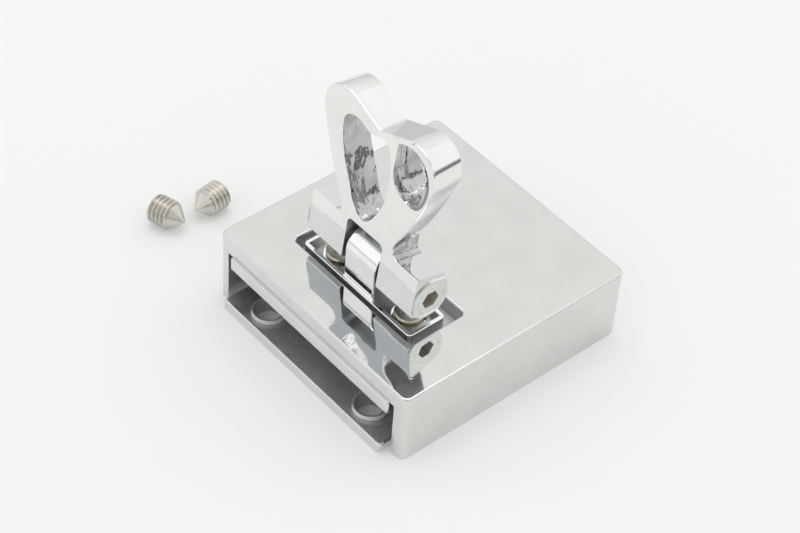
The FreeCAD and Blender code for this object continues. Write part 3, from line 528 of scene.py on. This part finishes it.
# Centre and reach of each opening, along X and Z
EYES = (((-2.2, 16.5), (5.7, 9.8)), (RIGHT_EYE, (3.4, 5.2)))
EYE_FOOT, EYE_MARGIN = 6.9, 1.25
ARM_END, ARM_TOP, PAD_REACH = (12.2, 12.51), 0.5, 3.2
WAIST_SPAN, WAIST_HEIGHT = (4.6, 8.6), (3.6, 8.6)
NOTCH_HALF, NOTCH_TOP = 4.2, 5.9
LOBE_LEFT, LOBE_HEIGHT = 4.0, (7.0, 21.5)
FLARE_LEFT, FLARE_HEIGHT, FLARE_BACK = 7.0, (15.0, 27.5), -2.4
SOCKET_REACH, SOCKET_SPAN = 1.75, (9.5, 12.45)


def held(value, limits):
    """Whether a value lies between two limits."""
    return limits[0] < value < limits[1]


def head_place(spot, normal):
    """A point and a normal of the head in its own upright frame."""
    return HEAD_LEAN @ (spot - HEAD_PIVOT), HEAD_LEAN @ normal


def eye_wall(spot, normal):
    """Walls of the two openings, rough as cast under the plating and darker as painted shade."""
    spot, facing = head_place(spot, normal)
    if abs(facing.y) > 0.5 or spot.z < EYE_FOOT:
        return False
    for centre, reach in EYES:
        aim = Vector((centre[0] - spot.x, centre[1] - spot.z))
        near = (aim.x / reach[0]) ** 2 + (aim.y / reach[1]) ** 2 < EYE_MARGIN
        if near and aim.x * facing.x + aim.y * facing.z > 0.0:
            return True
    return False


def end_step(spot, normal):
    """Narrow ledge round the pad on each end of the arms, darkened as a painted shadow line."""
    spot, facing = head_place(spot, normal)
    off_pad = math.hypot(spot.y, spot.z) > PAD_REACH and spot.y < -0.5
    return abs(facing.x) < 0.2 and held(abs(spot.x), ARM_END) and off_pad


def waist_hollow(spot, normal):
    """The rough hollow between each flank and its arm, darker as painted shade."""
    spot, facing = head_place(spot, normal)
    beside = held(abs(spot.x), WAIST_SPAN) and held(spot.z, WAIST_HEIGHT)
    return beside and abs(facing.y) < 0.6


def notch_wall(spot, normal):
    """Walls of the notch that the lug stands in, darker as painted shade."""
    spot, facing = head_place(spot, normal)
    return abs(spot.x) < NOTCH_HALF and spot.z < NOTCH_TOP and abs(facing.y) < 0.5


def arm_belly(spot, normal):
    """Under sides of the arms, which only the cover's reflection shows, dimmed as painted shade."""
    spot, facing = head_place(spot, normal)
    return spot.z < ARM_TOP and facing.z < -0.3


def lobe_under(spot, normal):
    """Under side of the right lobe, down to the hollow above the arm, darker as painted shade."""
    spot, facing = head_place(spot, normal)
    outward = facing.x > 0.35 and facing.z < -0.12 and abs(facing.y) < 0.5
    return outward and spot.x > LOBE_LEFT and held(spot.z, LOBE_HEIGHT)


def eye_flare(spot, normal):
    """The rounded front edge of the right opening, darker as painted shade."""
    spot, facing = head_place(spot, normal)
    edge = spot.x > FLARE_LEFT and spot.y < FLARE_BACK and held(spot.z, FLARE_HEIGHT)
    return edge and abs(facing.y) < 0.97 and facing.x < 0.0


def key_socket(spot, normal):
    """Hexagon socket in the outer end of a pivot screw."""
    reach = math.hypot(spot.y - HEAD_PIVOT.y, spot.z - HEAD_PIVOT.z)
    return reach < SOCKET_REACH and held(abs(spot.x), SOCKET_SPAN)


# The flare has no test here, because its faces are made by flare_right_eye
HEAD_REGIONS = (
    ("shaded_cast_wall_plating", eye_wall), ("shaded_inside_satin", end_step),
    ("shaded_cast_wall_plating", waist_hollow), ("shaded_inside_satin", notch_wall),
    ("shaded_belly_satin", arm_belly), ("shaded_flare_plating", None), ("shaded_under_plating", lobe_under))
FLARE_SLOT = 1 + [name for name, _ in HEAD_REGIONS].index("shaded_flare_plating")


# Small details of form


# Depth behind the head's front, and the share of the flare's width there
FLARE_STEPS = ((0.0, 1.0), (0.15, 0.66), (0.35, 0.33), (0.6, 0.10))
# The flare's width: a base, more outwards, less up and down, and none left of a direction
FLARE_WIDTH, FLARE_OUTWARD, FLARE_TAPER, FLARE_START = 0.3, 1.52, 0.25, -0.15
# Waves that meet in the nicks: their rate along X and their start. Below the level is no nick.
NICK_WAVES = ((5.1, 0.0), (1.7, 0.6), (13.3, 2.0))
NICK_LEVEL, NICK_DEPTH, NICK_DROP, NICK_CUTS = 0.12, 0.5, 0.3, 160
EDGE_FRONT, EDGE_LENGTH = -23.7, 30.0


def flare_right_eye(form):
    """Rounds the front edge of the right opening outwards, widest towards the lobe's side."""
    lean_back = HEAD_LEAN.inverted()
    middle = Vector((RIGHT_EYE[0], 0.0, RIGHT_EYE[1]))

    def wall_faces():
        return [face for face in form.faces
                if eye_wall(*facet(face)) and head_place(*facet(face))[0].x > RIGHT_EYE_LEFT]

    def width(spot):
        away = (spot - middle).normalized()
        wide = FLARE_WIDTH + FLARE_OUTWARD * away.x - FLARE_TAPER * abs(away.z)
        return max(0.0, wide) if away.x > FLARE_START else 0.0

    for depth, _ in FLARE_STEPS[1:]:
        faces = wall_faces()
        edges = list({edge for face in faces for edge in face.edges})
        verts = list({vert for face in faces for vert in face.verts})
        cut = HEAD_PIVOT + lean_back @ Vector((0.0, HEAD_FRONT + depth, 0.0))
        bmesh.ops.bisect_plane(form, geom=faces + edges + verts, dist=1e-7, plane_co=cut * MM,
                               plane_no=lean_back @ Vector((0.0, 1.0, 0.0)))
        form.normal_update()
    for vert in {vert for face in wall_faces() for vert in face.verts}:
        spot = HEAD_LEAN @ (vert.co / MM - HEAD_PIVOT)
        for depth, share in FLARE_STEPS:
            if abs(spot.y - HEAD_FRONT - depth) < 0.02:
                away = Vector((spot.x - middle.x, 0.0, spot.z - middle.z)).normalized()
                vert.co += lean_back @ (away * width(spot) * share) * MM
    form.normal_update()
    # The flare's faces take the darker flare finish: painted shade
    for face in form.faces:
        if eye_flare(*facet(face)):
            face.material_index = FLARE_SLOT


def nick_leaf(form):
    """Small nicks along the inner front edge of the lower leaf."""
    def on_front_edge(edge):
        spots = [vert.co / MM for vert in edge.verts]
        level = all(abs(spot.z - LEAF_TOP) < 0.05 and spot.y < EDGE_FRONT for spot in spots)
        return level and edge.calc_length() > EDGE_LENGTH * MM

    edges = [edge for edge in form.edges if on_front_edge(edge)]
    if not edges:
        raise RuntimeError("the lower leaf has no front edge")
    made = bmesh.ops.subdivide_edges(form, edges=edges, cuts=NICK_CUTS)["geom_inner"]
    for vert in {item for item in made if isinstance(item, bmesh.types.BMVert)}:
        swing = math.prod(math.sin(vert.co.x / MM * rate + start) for rate, start in NICK_WAVES)
        depth = max(0.0, swing - NICK_LEVEL) * NICK_DEPTH
        vert.co.y += depth * MM
        vert.co.z -= depth * NICK_DROP * MM


# Pieces


class CoverOperator(bpy.types.Operator):
    """Dress the slip-on cover with its square window"""

    bl_idname = "bag_lock.cover"
    bl_label = "Cover"

    def execute(self, context):
        dress_node("cover", "plated_cover", "cover_plating", "base",
                   regions=[("shaded_inside_satin", inside_cover)])
        return {"FINISHED"}


class ClampOperator(bpy.types.Operator):
    """Dress the two-leaved clamp body with its threaded rings"""

    bl_idname = "bag_lock.clamp"
    bl_label = "Clamp body"

    def execute(self, context):
        dress_node("clamp_body", "plated_clamp", "clamp_plating", "base", reshape=nick_leaf,
                   regions=[("shaded_inside_satin", threaded_bore), ("slot_roof", ring_wall),
                            ("shaded_leaf_plating", leaf_top), ("slot_roof", inside_clamp)])
        return {"FINISHED"}


class HingeOperator(bpy.types.Operator):
    """Dress the rimmed tray and its hinge lug"""

    bl_idname = "bag_lock.hinge"
    bl_label = "Hinge base"

    def execute(self, context):
        dress_node("hinge_base", "plated_hinge", "lit_lug_plating", "base",
                   regions=[("shaded_inside_satin", tray_side), ("shaded_leaf_plating", tray_floor)])
        return {"FINISHED"}


class HeadOperator(bpy.types.Operator):
    """Dress the pierced heart-shaped head and its pivot screws"""

    bl_idname = "bag_lock.head"
    bl_label = "Locking head"

    def execute(self, context):
        dress_node("locking_head", "plated_head", "lit_head_plating", "head",
                   regions=HEAD_REGIONS, reshape=flare_right_eye)
        for side in ("left", "right"):
            dress_node("pivot_screw_" + side, "plated_pivot_screw_" + side, "lit_head_plating", "head",
                       SCREW_CREASE, [("socket_brown", key_socket)])
        return {"FINISHED"}


class BaseScrewOperator(bpy.types.Operator):
    """Dress the two nickelled screws that hold the tray down"""

    bl_idname = "bag_lock.base_screws"
    bl_label = "Base screws"

    def execute(self, context):
        for side in ("left", "right"):
            dress_node("base_screw_" + side, "nickel_base_screw_" + side, "shaded_base_screw_nickel",
                       "base", SCREW_CREASE)
        return {"FINISHED"}


# Loose screws


SCREW_SIDES, SHANK_STEPS, SOCKET_STEPS = 48, 124, 3
# The socket's rows run from the rim over the mouth and the foot to the middle of its bottom
PAST_RIM, PAST_MOUTH, PAST_FOOT = 0.2, 0.5, 0.9
# Slope of the thread's flanks over that of a plain zigzag, which leaves the crest flat
FLANK_SLOPE = 1.3
# Share of the thread's depth that the bevel at the socket end takes away
END_BEVEL = 0.8
# Tip and heading in degrees of each screw on the floor
LYING = {
    "left": ((-36.15 * MM, -19.05 * MM, 2.5 * MM), 195.6),
    "right": ((-37.65 * MM, -16.3 * MM, 2.5 * MM), 97.9),
}
# A screw with fewer faces has lost its thread
LEAST_FACES = 1000


def size_label(setting):
    """The node tree's name for one of the screw's settings."""
    return setting.replace("_", " ").title()


def grid_of(tree, columns, rows):
    """A grid, with its coordinates from 0 to 1: across for the angle, along for the length."""
    grid = add_node(tree, "GeometryNodeMeshGrid", Size_X=1.0, Size_Y=1.0,
                    Vertices_X=columns + 1, Vertices_Y=rows + 1)
    place = add_node(tree, "GeometryNodeInputPosition").outputs[0]
    spot = add_node(tree, "ShaderNodeSeparateXYZ", Vector=place).outputs
    across, along = (calc(tree, "ADD", spot[axis], 0.5) for axis in ("X", "Y"))
    return grid.outputs["Mesh"], across, along


def wrapped(tree, mesh, along, radius, turn):
    """Sets each point of a grid at a distance along X and a radius and angle about X."""
    y = calc(tree, "MULTIPLY", radius, calc(tree, "COSINE", turn))
    z = calc(tree, "MULTIPLY", radius, calc(tree, "SINE", turn))
    place = add_node(tree, "ShaderNodeCombineXYZ", X=along, Y=y, Z=z).outputs[0]
    return add_node(tree, "GeometryNodeSetPosition", Geometry=mesh, Position=place).outputs[0]


def thread_tree():
    """Node tree of a cone-point set screw: a threaded shank along X with a socket in its end."""
    tree = bpy.data.node_groups.new("cone_point_screw", "GeometryNodeTree")
    tree.is_modifier = True
    sockets = [("Geometry", "Geometry")]
    sockets += [(size_label(setting), "Float") for setting in BagLockScrews.__annotations__]
    sockets += [("Heading", "Float"), ("Tip", "Vector"), ("Finish", "Material")]
    for name, kind in sockets:
        tree.interface.new_socket(name, in_out="INPUT", socket_type="NodeSocket" + kind)
    tree.interface.new_socket("Geometry", in_out="OUTPUT", socket_type="NodeSocketGeometry")
    size = add_node(tree, "NodeGroupInput").outputs
    out = add_node(tree, "NodeGroupOutput")

    def do(operation, *values):
        return calc(tree, operation, *values)

    mesh, across, along = grid_of(tree, SCREW_SIDES, SHANK_STEPS)
    turn = do("MULTIPLY", across, math.tau)
    reach = do("MULTIPLY", along, size["Length"])
    phase = do("FRACT", do("SUBTRACT", do("DIVIDE", reach, size["Pitch"]), across))
    zigzag = do("ABSOLUTE", do("SUBTRACT", do("MULTIPLY", phase, 2.0), 1.0))
    crest = do("MINIMUM", do("MULTIPLY", do("SUBTRACT", 1.0, zigzag), FLANK_SLOPE), 1.0)
    root = do("SUBTRACT", size["Radius"], size["Thread Depth"])
    shank = do("ADD", root, do("MULTIPLY", crest, size["Thread Depth"]))
    cone = do("MULTIPLY", do("DIVIDE", reach, size["Cone"]), size["Radius"])
    end_radius = do("SUBTRACT", size["Radius"], do("MULTIPLY", size["Thread Depth"], END_BEVEL))
    bevel = do("ADD", end_radius, do("SUBTRACT", size["Length"], reach))
    radius = do("MINIMUM", do("MINIMUM", shank, cone), bevel)
    threaded = wrapped(tree, mesh, reach, radius, turn)

    mesh, across, along = grid_of(tree, SCREW_SIDES, SOCKET_STEPS)
    turn = do("MULTIPLY", across, math.tau)
    sixth = do("SUBTRACT", do("MODULO", turn, math.tau / 6.0), math.tau / 12.0)
    flat = do("DIVIDE", do("MULTIPLY", size["Socket Width"], 0.5), do("COSINE", sixth))
    rim = do("MULTIPLY", do("LESS_THAN", along, PAST_RIM), do("SUBTRACT", end_radius, flat))
    inner = do("MULTIPLY", do("ADD", flat, rim), do("LESS_THAN", along, PAST_FOOT))
    sunk = do("MULTIPLY", do("GREATER_THAN", along, PAST_MOUTH), size["Socket Depth"])
    socket = wrapped(tree, mesh, do("SUBTRACT", size["Length"], sunk), inner, turn)

    both = add_node(tree, "GeometryNodeJoinGeometry")
    tree.links.new(threaded, both.inputs[0])
    tree.links.new(socket, both.inputs[0])
    closed = add_node(tree, "GeometryNodeMergeByDistance", Geometry=both.outputs[0],
                      Distance=JOIN_REACH)
    spun = add_node(tree, "ShaderNodeCombineXYZ", Z=size["Heading"])
    laid = add_node(tree, "GeometryNodeTransform", Geometry=closed.outputs[0],
                    Translation=size["Tip"], Rotation=spun.outputs[0])
    real = add_node(tree, "GeometryNodeRealizeInstances", Geometry=laid.outputs[0])
    painted = add_node(tree, "GeometryNodeSetMaterial", Geometry=real.outputs[0],
                       Material=size["Finish"])
    tree.links.new(painted.outputs[0], out.inputs[0])
    return tree


class LooseScrewOperator(bpy.types.Operator):
    """Make the two loose cone-point set screws with their helical threads"""

    bl_idname = "bag_lock.loose_screws"
    bl_label = "Loose set screws"

    def execute(self, context):
        sizes = context.scene.bag_lock_screws
        tree = thread_tree()
        inputs = {item.name: item.identifier for item in tree.interface.items_tree
                  if item.item_type == "SOCKET" and item.in_out == "INPUT"}
        for side, (tip, heading) in LYING.items():
            name = "threaded_set_screw_" + side
            piece = new_piece(name, bpy.data.meshes.new(name))
            maker = piece.modifiers.new("screw", "NODES")
            maker.node_group = tree
            for setting in sizes.__annotations__:
                maker[inputs[size_label(setting)]] = getattr(sizes, setting)
            maker[inputs["Heading"]] = math.radians(heading)
            maker[inputs["Tip"]] = tip
            maker[inputs["Finish"]] = finish("screw_nickel")
            baked(piece)
            if len(piece.data.polygons) < LEAST_FACES:
                raise RuntimeError("the set screw has no thread")
            piece.data.shade_smooth()
            piece.data.set_sharp_from_angle(angle=THREAD_CREASE)
            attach(piece, "base")
            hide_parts("clamp_screw_" + side)
        return {"FINISHED"}


# Studio


SENSOR_WIDTH = 36.0
CLIP_NEAR, CLIP_FAR = 0.01, 20.0
SOFTBOX_SIZE, SOFTBOX_PLACE = (0.60, 0.50), (-0.08, 0.10, 0.75)
# The floor's even colour starts this far from the point under the lock, which its shadow covers
EVEN_FROM, UNDER_LOCK_Y = 19.0 * MM, -2.5 * MM
# Colours of the light tent's walls, by the height of the direction
TENT_WALLS = (
    (0.0, (0.38, 0.39, 0.40)), (0.045, (0.46, 0.47, 0.48)), (0.09, (0.74, 0.75, 0.76)),
    (0.45, (0.84, 0.85, 0.85)), (0.70, (0.96, 0.965, 0.945)), (1.0, (1.0, 1.0, 0.99)))
OPENING_COLOUR, OPENING_EDGE = (0.16, 0.17, 0.18), (0.955, 0.975)


def floor_material(settings):
    """Pale floor: plain diffuse with the object's shadow, mixed with an even colour.

    The even share is for the eye and for reflections only, and gives no light.
    """
    material, tree = new_material("pale_floor")
    colour = (*settings.floor_colour, 1.0)
    path = add_node(tree, "ShaderNodeLightPath").outputs
    seen = calc(tree, "ADD", path["Is Camera Ray"], path["Is Glossy Ray"])
    seen = calc(tree, "ADD", seen, path["Is Transmission Ray"], clamp=True)
    place = add_node(tree, "ShaderNodeTexCoord").outputs["Object"]
    x, y, _ = add_node(tree, "ShaderNodeSeparateXYZ", Vector=place).outputs
    ahead = calc(tree, "SUBTRACT", y, UNDER_LOCK_Y)
    far = calc(tree, "MAXIMUM", calc(tree, "ABSOLUTE", x), calc(tree, "ABSOLUTE", ahead))
    clear = calc(tree, "GREATER_THAN", far, EVEN_FROM)
    share = calc(tree, "MULTIPLY", calc(tree, "MULTIPLY", seen, clear), settings.floor_glow)
    plain = add_node(tree, "ShaderNodeBsdfDiffuse", Color=colour)
    even = add_node(tree, "ShaderNodeEmission", Color=colour, Strength=1.0)
    add_node(tree, "ShaderNodeOutputMaterial", Surface=blended(tree, share, plain, even))
    return material


def view_axes(settings):
    """The camera's right, up and back directions."""
    level, height = math.cos(settings.elevation), math.sin(settings.elevation)
    azimuth = settings.azimuth
    back = Vector((math.sin(azimuth) * level, -math.cos(azimuth) * level, height))
    right = (-back).cross(Vector((0.0, 0.0, 1.0))).normalized()
    up = right.cross(-back)
    cosine, sine = math.cos(settings.roll), math.sin(settings.roll)
    return right * cosine + up * sine, up * cosine - right * sine, back


def overlap(tree, *steps):
    """Mask where smooth steps overlap; each is a value and where it starts and ends."""
    first, second = (smooth_step(tree, *step) for step in steps)
    return calc(tree, "MULTIPLY", first, second)


def window_mask(tree, axes, ranges, soft):
    """Mask of a panel seen from the middle: two slopes of a direction, each held in its range."""
    mask = smooth_step(tree, axes[0][1], 0.03, 0.06)
    for (over, under), (low, high) in zip(axes, ranges):
        slope = calc(tree, "DIVIDE", over, calc(tree, "MAXIMUM", under, 0.02))
        for edge in ((low - soft, low + soft), (high + soft, high - soft)):
            mask = calc(tree, "MULTIPLY", mask, smooth_step(tree, slope, *edge))
    return mask


def make_world(settings):
    """Light tent: grey walls, a dim foot, bright panels and a dark opening round the camera."""
    world = bpy.data.worlds.new("light_tent")
    world.use_nodes = True
    tree = world.node_tree
    tree.nodes.clear()
    way = add_node(tree, "ShaderNodeTexCoord").outputs["Generated"]
    x, y, z = add_node(tree, "ShaderNodeSeparateXYZ", Vector=way).outputs
    lens = add_node(tree, "ShaderNodeVectorMath", operation="DOT_PRODUCT")
    feed(tree, lens.inputs[0], way)
    feed(tree, lens.inputs[1], view_axes(settings)[2])

    over, rear = ((x, z), (y, z)), ((x, y), (z, y))
    front = overlap(tree, (y, -0.30, -0.42), (z, 0.05, 0.09))
    overhead = window_mask(tree, over, ((-1.6, 0.25), (-1.3, 0.25)), 0.10)
    high_front = window_mask(tree, over, ((-0.95, -0.35), (-0.58, -0.22)), 0.05)
    behind = window_mask(tree, rear, ((-0.15, 2.3), (0.08, 1.28)), 0.09)
    left_foot = overlap(tree, (x, -0.40, -0.55), (z, 0.13, 0.08))
    right_foot = overlap(tree, (x, 0.55, 0.72), (z, 0.24, 0.10))
    opening = smooth_step(tree, lens.outputs["Value"], *OPENING_EDGE)
    tent = colour_ramp(tree, z, TENT_WALLS)
    for colour, mask in (
            ((1.05, 1.06, 1.07), front), ((1.05, 1.05, 1.05), overhead),
            ((0.58, 0.60, 0.64), high_front), ((1.06, 1.06, 1.05), behind),
            ((0.64, 0.65, 0.65), left_foot), ((0.24, 0.245, 0.24), right_foot),
            (OPENING_COLOUR, opening)):
        tent = layered(tree, tent, colour, mask)

    around = add_node(tree, "ShaderNodeBackground", Color=tent, Strength=1.0)
    plain = (*settings.floor_colour, 1.0)
    backdrop = add_node(tree, "ShaderNodeBackground", Color=plain, Strength=1.0)
    path = add_node(tree, "ShaderNodeLightPath").outputs
    both = blended(tree, path["Is Camera Ray"], around, backdrop)
    add_node(tree, "ShaderNodeOutputWorld", Surface=both)
    bpy.context.scene.world = world


class StudioOperator(bpy.types.Operator):
    """Make the camera, the pale floor and the soft light"""

    bl_idname = "bag_lock.studio"
    bl_label = "Studio"

    def execute(self, context):
        settings = context.scene.bag_lock_studio
        right, up, back = view_axes(settings)
        view = bpy.data.cameras.new("camera")
        view.sensor_width = SENSOR_WIDTH
        view.sensor_fit = "HORIZONTAL"
        view.lens = settings.lens
        view.clip_start = CLIP_NEAR
        view.clip_end = CLIP_FAR
        view.dof.use_dof = False
        camera = new_piece("camera", view)
        stand = Matrix.Translation(Vector(settings.target) + back * settings.distance)
        camera.matrix_world = stand @ Matrix((right, up, back)).transposed().to_4x4()
        context.scene.camera = camera

        half = settings.floor_width / 2.0
        corners = [(-half, -half, 0.0), (half, -half, 0.0), (half, half, 0.0), (-half, half, 0.0)]
        mesh = bpy.data.meshes.new("floor")
        mesh.from_pydata(corners, [], [(0, 1, 2, 3)])
        mesh.materials.append(floor_material(settings))
        floor = new_piece("floor", mesh)

        softbox = bpy.data.lights.new("softbox", "AREA")
        softbox.shape = "RECTANGLE"
        softbox.size, softbox.size_y = SOFTBOX_SIZE
        softbox.energy = settings.lamp_power
        lamp = new_piece("softbox", softbox)
        lamp.location = SOFTBOX_PLACE
        lamp.rotation_euler = (-lamp.location).to_track_quat("-Z", "Y").to_euler()

        make_world(settings)
        context.scene.view_settings.view_transform = "Standard"
        return {"FINISHED"}


class BagLockPanel(bpy.types.Panel):
    """Sizes, finishes and pieces of the bag lock"""

    bl_idname = "VIEW3D_PT_bag_lock"
    bl_label = "Bag Lock"
    bl_space_type = "VIEW_3D"
    bl_region_type = "UI"
    bl_category = "Bag Lock"

    def draw(self, context):
        layout = self.layout
        for operator in OPERATORS:
            layout.operator(operator.bl_idname)
        for name, title, _ in SETTINGS:
            settings = getattr(context.scene, name)
            box = layout.box()
            box.label(text=title)
            for setting in settings.__annotations__:
                box.prop(settings, setting)


OPERATORS = (StudioOperator, CoverOperator, ClampOperator, HingeOperator, HeadOperator,
             BaseScrewOperator, LooseScrewOperator)
SETTINGS = (("bag_lock_finish", "Finish", BagLockFinish),
            ("bag_lock_screws", "Loose screws", BagLockScrews),
            ("bag_lock_studio", "Studio", BagLockStudio))


def register():
    for name, _, group in SETTINGS:
        bpy.utils.register_class(group)
        setattr(bpy.types.Scene, name, PointerProperty(type=group))
    for operator in OPERATORS:
        bpy.utils.register_class(operator)
    bpy.utils.register_class(BagLockPanel)


def unregister():
    bpy.utils.unregister_class(BagLockPanel)
    for operator in reversed(OPERATORS):
        bpy.utils.unregister_class(operator)
    for name, _, group in reversed(SETTINGS):
        delattr(bpy.types.Scene, name)
        bpy.utils.unregister_class(group)


def main():
    register()
    bpy.ops.bag_lock.studio()
    bpy.ops.bag_lock.cover()
    bpy.ops.bag_lock.clamp()
    bpy.ops.bag_lock.hinge()
    bpy.ops.bag_lock.head()
    bpy.ops.bag_lock.base_screws()
    bpy.ops.bag_lock.loose_screws()


if __name__ == "__main__":
    main()
